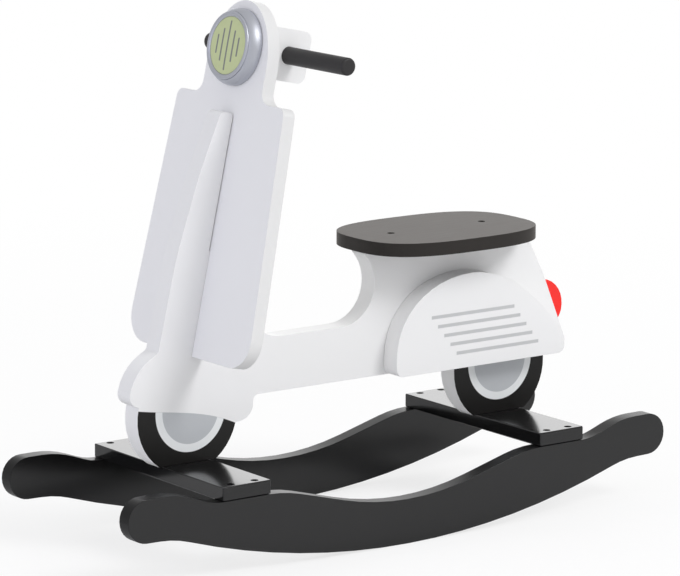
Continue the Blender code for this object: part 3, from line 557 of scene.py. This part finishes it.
# %% [markdown]
# The tyres are black on the flat faces alone, and the rounded edges of the board stay
# white. Over the front wheel the mudguard is white again, down to a gentle curve that
# drops faster to the rear. A cubic of the distance from the board's middle follows that
# curve with four numbers, and no row of points is needed.

# %% Black tyres under a white mudguard
TYRE = (0.0035, 0.0030, 0.0028, 1.0)
TYRE_RUBBED = (0.006, 0.0054, 0.005, 1.0)
GUARD_RISE = 0.0576      # mudguard line above the cross board, at the board's middle
GUARD_SLOPE = 0.175
GUARD_BEND = -1.08       # per metre
GUARD_TWIST = 13.0       # per square metre
WHEEL_REACH = 0.090      # the painted stretch on each side of the front wheel's middle
REAR_PAINT_TOP = 0.0664
FACE_DEPTH = 0.0001      # how far below the flat face the paint still reaches

body_paint, shader, flow, where, colour = white_lacquer("body_paint", edge_light_and_shade=0.85)
x, y, z = axes(where)
rubbed = noise(where, scale=160.0)
flat = 1 - abs(y).below(BODY_HALF - FACE_DEPTH, FACE_DEPTH)
ahead = x - FRONT_X
guard_line = ((ahead * GUARD_TWIST + GUARD_BEND) * ahead + GUARD_SLOPE) * ahead
under_guard = (z - guard_line).below(BOARD_TOP + GUARD_RISE, PAINT_EDGE)
front_tyre = under_guard * abs(ahead).below(WHEEL_REACH, PAINT_EDGE)
rear_tyre = z.below(BOARD_TOP + REAR_PAINT_TOP, PAINT_EDGE) * x.below(0, PAINT_EDGE)
tyres = flat * (front_tyre + rear_tyre)
colour = blend(tyres, colour, blend(rubbed, TYRE, TYRE_RUBBED))
print("the rear tyre's paint ends", round(1000 * REAR_PAINT_TOP, 1), "mm above the boards")

# %% [markdown]
# Ring and hub lie over the tyre, so they are blended on after it, the wider one first.
# The tyre's own mask cuts them where the mudguard or the body begins.

# %% White rings and grey hubs
RING_RADIUS = 0.0471
HUB_RADIUS = 0.0379
RING = (0.84, 0.86, 0.87, 1.0)
HUB = (0.52, 0.54, 0.565, 1.0)
HUB_SHADE = (0.50, 0.52, 0.545, 1.0)

colour = blend(on_both_hubs(x, z, RING_RADIUS) * tyres, colour, RING)
colour = blend(on_both_hubs(x, z, HUB_RADIUS) * tyres, colour, blend(rubbed, HUB, HUB_SHADE))
flow.feed(shader, {"Base Color": colour})
print("rings", round(2000 * RING_RADIUS, 1), "mm and hubs", round(2000 * HUB_RADIUS, 1), "mm wide")

# %% [markdown]
# Five grey stripes on each side cover stand for the slots of an engine hood. They are
# printed, each a little lower and further back than the one above, with square ends as
# a stencil leaves them. Only the first and the last stripe are placed, and the loop
# shares out the rest between them.

# %% Stripes printed on the covers
STRIPES = 5
STRIPE_LENGTH = 0.1223
STRIPE_WIDTH = 0.0040
FIRST_STRIPE = Vector((FRONT_X - 0.3860, BOARD_TOP + 0.1315))    # x and z of its middle
LAST_STRIPE = Vector((FRONT_X - 0.4228, BOARD_TOP + 0.0853))
STRIPE_GREY = (0.54, 0.545, 0.555, 1.0)
COVER_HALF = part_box("cover_left")[1].y
PRINT_DEPTH = 0.0002     # how far below the flat face the print still reaches

# The covers' edges are painted lighter than their faces, as painted light.
cover_paint, shader, flow, where, colour = white_lacquer("cover_paint", edge_light_and_shade=0.93)
x, y, z = axes(where)
outside = 1 - abs(y).below(COVER_HALF - PRINT_DEPTH, PRINT_DEPTH)
stripes = 0.0
for i in range(STRIPES):
    middle, height = FIRST_STRIPE.lerp(LAST_STRIPE, i / (STRIPES - 1))
    stripes = (abs(z - height).below(STRIPE_WIDTH / 2, PAINT_EDGE)
               * abs(x - middle).below(STRIPE_LENGTH / 2, PAINT_EDGE)) + stripes
flow.feed(shader, {"Base Color": blend(stripes * outside, colour, STRIPE_GREY)})
print("printed", STRIPES, "stripes of", round(1000 * STRIPE_LENGTH, 1), "mm")

# %% [markdown]
# Black lacquer covers the rockers and the two cross boards. It is sprayed thicker than
# the white and almost mirrors the room. Fine dust and rubbing show on black more than
# anywhere else, so both pale the colour a little and take some of the gloss.

# %% Black lacquer
BLACK = (0.0040, 0.0040, 0.0043, 1.0)
BLACK_DUST = (0.0075, 0.0072, 0.0072, 1.0)
BLACK_ROUGHNESS = 0.10
RUBBING_DULLS = 0.08
DUST_DULLS = 0.15
DUST_EDGE = 0.27                  # noise under this is a grain of dust
DUST_BLUR = 0.04
BLACK_PEEL = 0.8                  # its orange peel is a little wider than on white


def black_lacquer(name):
    """Material, shader, flow, the coat's colour and relief, and what dulls its gloss."""
    finish, shader, flow, where = new_finish(name)
    patch = noise(where, scale=14.0, detail=4.0)
    dust = noise(where, scale=900.0, detail=2.0).below(DUST_EDGE, DUST_BLUR)
    coat = {"Base Color": blend(mingle(patch, dust, 0.5), BLACK, BLACK_DUST),
            "Normal": bumped(lacquer_peel(where, BLACK_PEEL), strength=0.12, distance=0.0002)}
    dulled = patch * RUBBING_DULLS + dust * DUST_DULLS
    flow.feed(shader, {"Roughness": dulled + BLACK_ROUGHNESS, **coat})
    return finish, shader, flow, coat, dulled


board_black = black_lacquer("board_black")[0]
print("made", board_black.name)

# %% [markdown]
# The sawn edges of the rockers drink more of the lacquer, so they mirror less. A strength
# of mirroring that changes from spot to spot is lost when the toy is exported, so it stays
# a plain number. The edges have a shader of their own instead, with a lower number, and
# the mask of the sawn edges chooses between the two.

# %% Duller edges on the rockers
SAWN_ROUGHNESS = 0.30
SAWN_SHINE = 0.17

rocker_black, shader, flow, coat, dulled = black_lacquer("rocker_black")
faces = Flow(flow.tree, shader.outputs[0])
edges = flow.node("BsdfPrincipled", inputs={"Roughness": dulled + SAWN_ROUGHNESS,
                                            "Specular IOR Level": SAWN_SHINE, **coat})
both = flow.node("MixShader", inputs={"Fac": sawn_edge(flow, BOARD_THICKNESS), 1: faces, 2: edges})
flow.feed(flow.tree.nodes["Material Output"], {"Surface": both})
print("made", rocker_black.name)

# %% [markdown]
# The seat is a plywood board with a matt dark grey coat, a little like suede to look at.
# The grain of the veneer runs along the seat and still shows as long shallow streaks,
# which is noise stretched along X. A touch of sheen gives the pale, slightly warm look
# that the top has when it is seen at a flat angle.

# %% Matt grey seat
SEAT_GREY = (0.022, 0.0195, 0.018, 1.0)
SEAT_GREY_PALE = (0.031, 0.0275, 0.025, 1.0)
SEAT_ROUGHNESS = 0.42
STREAKS_DULL = 0.12
STREAK_SHARE = 0.6
VENEER = (1.0, 14.0, 14.0)        # its streaks are this much longer than wide

seat_lacquer, shader, flow, where = new_finish("seat_lacquer")
along = flow.node("Mapping", inputs={"Vector": where, "Scale": VENEER})
streaks = noise(along, scale=22.0, detail=4.0, roughness=0.6)
grit = noise(where, scale=900.0, detail=2.0)
coat = mingle(streaks, grit, STREAK_SHARE)
flow.feed(shader, {"Base Color": blend(coat, SEAT_GREY, SEAT_GREY_PALE),
                   "Roughness": streaks * STREAKS_DULL + SEAT_ROUGHNESS,
                   "Specular IOR Level": 0.18,
                   "Sheen Weight": 0.10,
                   "Sheen Roughness": 0.35,
                   "Sheen Tint": (1.0, 0.80, 0.62, 1.0),
                   "Normal": bumped(coat, strength=0.25, distance=0.0003)})
print("made", seat_lacquer.name)

# %% [markdown]
# The handlebar is a turned dowel with a matt black coat. The wood leaves faint lines
# along it, and the coat is a little gritty, so one noise is drawn out along Y and an
# even, finer one is mingled with it.

# %% Matt black dowel
BAR_BLACK = (0.014, 0.013, 0.014, 1)
BAR_BLACK_PALE = (0.024, 0.022, 0.023, 1)
BAR_ROUGHNESS = 0.42
LINES_DULL = 0.14
LINE_SHARE = 0.6
BAR_GRAIN = (1.0, 0.06, 1.0)

bar_lacquer, shader, flow, where = new_finish("bar_lacquer")
along = flow.node("Mapping", inputs={"Vector": where, "Scale": BAR_GRAIN})
lines = noise(along, scale=700.0)
grit = noise(where, scale=500.0, detail=2.0)
coat = mingle(lines, grit, LINE_SHARE)
flow.feed(shader, {"Base Color": blend(coat, BAR_BLACK, BAR_BLACK_PALE),
                   "Roughness": coat * LINES_DULL + BAR_ROUGHNESS,
                   "Specular IOR Level": 0.4,
                   "Normal": bumped(coat, strength=0.2, distance=0.0002)})
print("made", bar_lacquer.name)

# %% [markdown]
# The headlight's dish is moulded plastic with a silver coat, a cool grey that mirrors
# softly. The coat holds fine metal flakes, which noise of half a millimetre gives.

# %% Silver dish
SILVER = (0.43, 0.445, 0.49, 1)
SILVER_BRIGHT = (0.53, 0.545, 0.59, 1)
SILVER_ROUGHNESS = 0.40
FLAKES_DULL = 0.06

silver_coat, shader, flow, where = new_finish("silver_coat")
flakes = noise(where, scale=2200.0, detail=2.0)
patch = noise(where, scale=60.0, detail=2.0)
flow.feed(shader, {"Base Color": blend(flakes, SILVER, SILVER_BRIGHT),
                   "Metallic": 0.75,
                   "Roughness": (patch + flakes) * FLAKES_DULL + SILVER_ROUGHNESS,
                   "Normal": bumped(flakes, strength=0.04, distance=0.0001)})
print("made", silver_coat.name)

# %% [markdown]
# The lens is a yellow green disc with five grey bars, longest in the middle, which
# stand for the ribs of a lamp glass. They are printed along the leaning shield. A bar is
# all that lies nearer than half its width to a short line, which gives it round ends.

# %% Lens with bars
LENS_GREEN = (0.52, 0.58, 0.305, 1.0)
LENS_GREEN_PALE = (0.565, 0.625, 0.345, 1.0)
LENS_BAR_GREY = (0.20, 0.21, 0.20, 1.0)
LENS_BARS = ((-0.0195, 0.0095), (-0.010, 0.0172), (0.0003, 0.0268), (0.0108, 0.0165),
             (0.020, 0.0095))      # place across the lens and half the length
LENS_BAR_WIDTH = 0.0027
LENS_ROUGHNESS = 0.30
PRINT_DULLS = 0.08


def lens_bar(across, up, half):
    """One inside an upright bar with round ends that reaches half above and half below."""
    beyond = up.math("MAXIMUM", abs(up) - half, 0.0)
    away = up.math("SQRT", across * across + beyond * beyond)
    return away.below(LENS_BAR_WIDTH / 2, PAINT_EDGE)


lens_print, shader, flow, where = new_finish("lens_print")
patch = noise(where, scale=200.0, detail=2.0)
rise = flow.node("VectorMath", {"operation": "DOT_PRODUCT"}, {0: where, 1: UP}, out="Value")
rise = rise - LAMP_MIDDLE.dot(UP)
left = axes(where)[1]
bars = 0.0
for place, half in LENS_BARS:
    bars = lens_bar(left - place, rise, half) + bars
green = blend(patch, LENS_GREEN, LENS_GREEN_PALE)
flow.feed(shader, {"Base Color": blend(bars, green, LENS_BAR_GREY),
                   "Roughness": patch * PRINT_DULLS + LENS_ROUGHNESS,
                   "Normal": bumped(patch, strength=0.05, distance=0.0002)})
print("made", lens_print.name, "with", len(LENS_BARS), "bars")

# %% [markdown]
# The tail light is a slice of a wooden disc in glossy red. It is sprayed as the white
# boards are, with the same orange peel, but thick enough to shine more.

# %% Glossy red
RED = (0.90, 0.016, 0.012, 1)
RED_BRIGHT = (0.97, 0.024, 0.017, 1)
RED_ROUGHNESS = 0.20
RED_PATCH_DULLS = 0.06

red_gloss, shader, flow, where = new_finish("red_gloss")
patch = noise(where, scale=40.0)
flow.feed(shader, {"Base Color": blend(patch, RED, RED_BRIGHT),
                   "Roughness": patch * RED_PATCH_DULLS + RED_ROUGHNESS,
                   "Specular IOR Level": 0.35,
                   "Normal": bumped(lacquer_peel(where), strength=0.1, distance=0.0002)})
print("made", red_gloss.name)

# %% [markdown]
# The screws are steel with a thin coat of zinc, whose fine crystals make it a little
# uneven. They hardly show, but a piece that is turned over or opened later should look
# right too.

# %% Zinc plated steel
ZINC = (0.30, 0.30, 0.31, 1)
ZINC_BRIGHT = (0.42, 0.42, 0.43, 1)
ZINC_ROUGHNESS = 0.25
CRYSTALS_DULL = 0.15

zinc_steel, shader, flow, where = new_finish("zinc_steel")
crystals = noise(where, scale=1500.0)
flow.feed(shader, {"Base Color": blend(crystals, ZINC, ZINC_BRIGHT),
                   "Metallic": 1.0,
                   "Roughness": crystals * CRYSTALS_DULL + ZINC_ROUGHNESS,
                   "Normal": bumped(crystals, strength=0.1, distance=0.0001)})
print("made", zinc_steel.name)

# %% [markdown]
# The dowels are bare beech, with short darker flecks. The flecks are noise drawn out
# along Y, which is the way that the dowels in the side covers lie.

# %% Bare beech
BEECH = (0.55, 0.38, 0.22, 1)
BEECH_PALE = (0.66, 0.49, 0.31, 1)
BEECH_ROUGHNESS = 0.6
FLECKS_DULL = 0.1
BEECH_GRAIN = (1.0, 0.2, 1.0)

bare_beech, shader, flow, where = new_finish("bare_beech")
along = flow.node("Mapping", inputs={"Vector": where, "Scale": BEECH_GRAIN})
flecks = noise(along, scale=900.0, detail=4.0)
flow.feed(shader, {"Base Color": blend(flecks, BEECH, BEECH_PALE),
                   "Roughness": flecks * FLECKS_DULL + BEECH_ROUGHNESS,
                   "Normal": bumped(flecks, strength=0.2, distance=0.0002)})
print("made", bare_beech.name)

# %% [markdown]
# Each piece now gets its finish. The table beside each finish also lists the slot of the
# packed record that it stands for, which nothing below uses. What is left of the CAD nodes
# is screws and dowels, which keep their meshes and get steel or beech.

# %% Put the finishes on the pieces
FINISHES = {"rocker_left": (rocker_black, "black_board"),
            "rocker_right": (rocker_black, "black_board"),
            "front_cross_board": (board_black, "black_board"),
            "rear_cross_board": (board_black, "black_board"),
            "body_board": (body_paint, "white_board"),
            "shield": (shield_white, "white_board"),
            "cover_left": (cover_paint, "white_board"),
            "cover_right": (cover_paint, "white_board"),
            "handlebar_block": (plain_white, "white_board"),
            "handlebar": (bar_lacquer, "black_dowel"),
            "headlight_bezel": (silver_coat, "bezel"),
            "headlight_lens": (lens_print, "lens"),
            "seat_board": (seat_lacquer, "seat_board"),
            "tail_light": (red_gloss, "red_light")}
for name, (finish, slot) in FINISHES.items():
    PIECES[name].data.materials.append(finish)
for name, node in NODES.items():
    if name not in PIECES:
        node.data.materials.clear()
        node.data.materials.append(bare_beech if "dowel" in name else zinc_steel)
print("dressed", len(PIECES), "pieces and", len(NODES) - len(PIECES), "screws and dowels")

# %% [markdown]
# The floor is a plain white sweep, as a roll of paper gives. One large square is enough,
# because far out it looks as white as the room. It belongs to the studio and not to the
# toy.

# %% The floor
FLOOR_REACH = 30.0
FLOOR_CORNERS = [(-FLOOR_REACH, -FLOOR_REACH, 0), (FLOOR_REACH, -FLOOR_REACH, 0),
                 (FLOOR_REACH, FLOOR_REACH, 0), (-FLOOR_REACH, FLOOR_REACH, 0)]
floor_mesh = bpy.data.meshes.new("studio_floor")
floor_mesh.from_pydata(FLOOR_CORNERS, [], [(0, 1, 2, 3)])
floor = bpy.data.objects.new("studio_floor", floor_mesh)
scene.collection.objects.link(floor)
print("floor:", 2 * FLOOR_REACH, "m wide")

# %% [markdown]
# The camera sees the floor as pale paper that is lifted nearly to white and keeps the
# toy's shadow, and further out as pure white, so that no horizon shows. Everything else,
# such as the light that the toy's underside gets back, meets an ordinary pale floor. More
# light would whiten the floor as well, but it would wash out the toy.

# %% White paper for the camera
FLOOR_GREY = (0.84, 0.84, 0.84, 1)     # what everything but the camera meets
FLOOR_ROUGHNESS = 0.6
PAPER_GREY = (0.25, 0.25, 0.25, 1)     # how strongly the seen paper shows the shadow
PAPER_LIFT = 0.735
PURE_WHITE = (1, 1, 1, 1)
FADE_MIDDLE = 1.3                      # metres from the toy where the paper fades out
FADE_WIDTH = 1.8

floor_paper, shader, flow, where = new_finish("studio_floor")
x, y, z = axes(where)
far_share = 1 - flow.math("SQRT", x * x + y * y).below(FADE_MIDDLE, FADE_WIDTH)
flow.feed(shader, {"Base Color": FLOOR_GREY, "Roughness": FLOOR_ROUGHNESS})
paper = flow.node("BsdfDiffuse", inputs={"Color": PAPER_GREY})
lift = flow.node("Emission", inputs={"Color": PURE_WHITE, "Strength": PAPER_LIFT})
backdrop = flow.node("Emission", inputs={"Color": PURE_WHITE, "Strength": 1.0})
near_floor = flow.node("AddShader", inputs={0: paper, 1: lift})
seen = flow.node("MixShader", inputs={"Fac": far_share, 1: near_floor, 2: backdrop})
ordinary = Flow(flow.tree, shader.outputs[0])
to_camera = flow.node("LightPath", out="Is Camera Ray")
floor_look = flow.node("MixShader", inputs={"Fac": to_camera, 1: ordinary, 2: seen})
flow.feed(flow.tree.nodes["Material Output"], {"Surface": floor_look})
floor_mesh.materials.append(floor_paper)
print("paper lifted to", PAPER_LIFT)

# %% [markdown]
# The white room is the world. The camera sees it as pure white, and it lights the toy
# with less than that, so that the white boards don't burn out.

# %% The white room
ROOM_GLOW = 0.68

world = bpy.data.worlds.new("studio_world")
world.use_nodes = True
scene.world = world
flow = Flow(world.node_tree)
to_camera = flow.node("LightPath", out="Is Camera Ray")
flow.feed(world.node_tree.nodes["Background"],
          {"Color": PURE_WHITE, "Strength": to_camera * (1 - ROOM_GLOW) + ROOM_GLOW})
print("the room lights the toy with", ROOM_GLOW, "of white")

# %% [markdown] The toy is now dressed and lit.

# %% The end
print("scene finished")
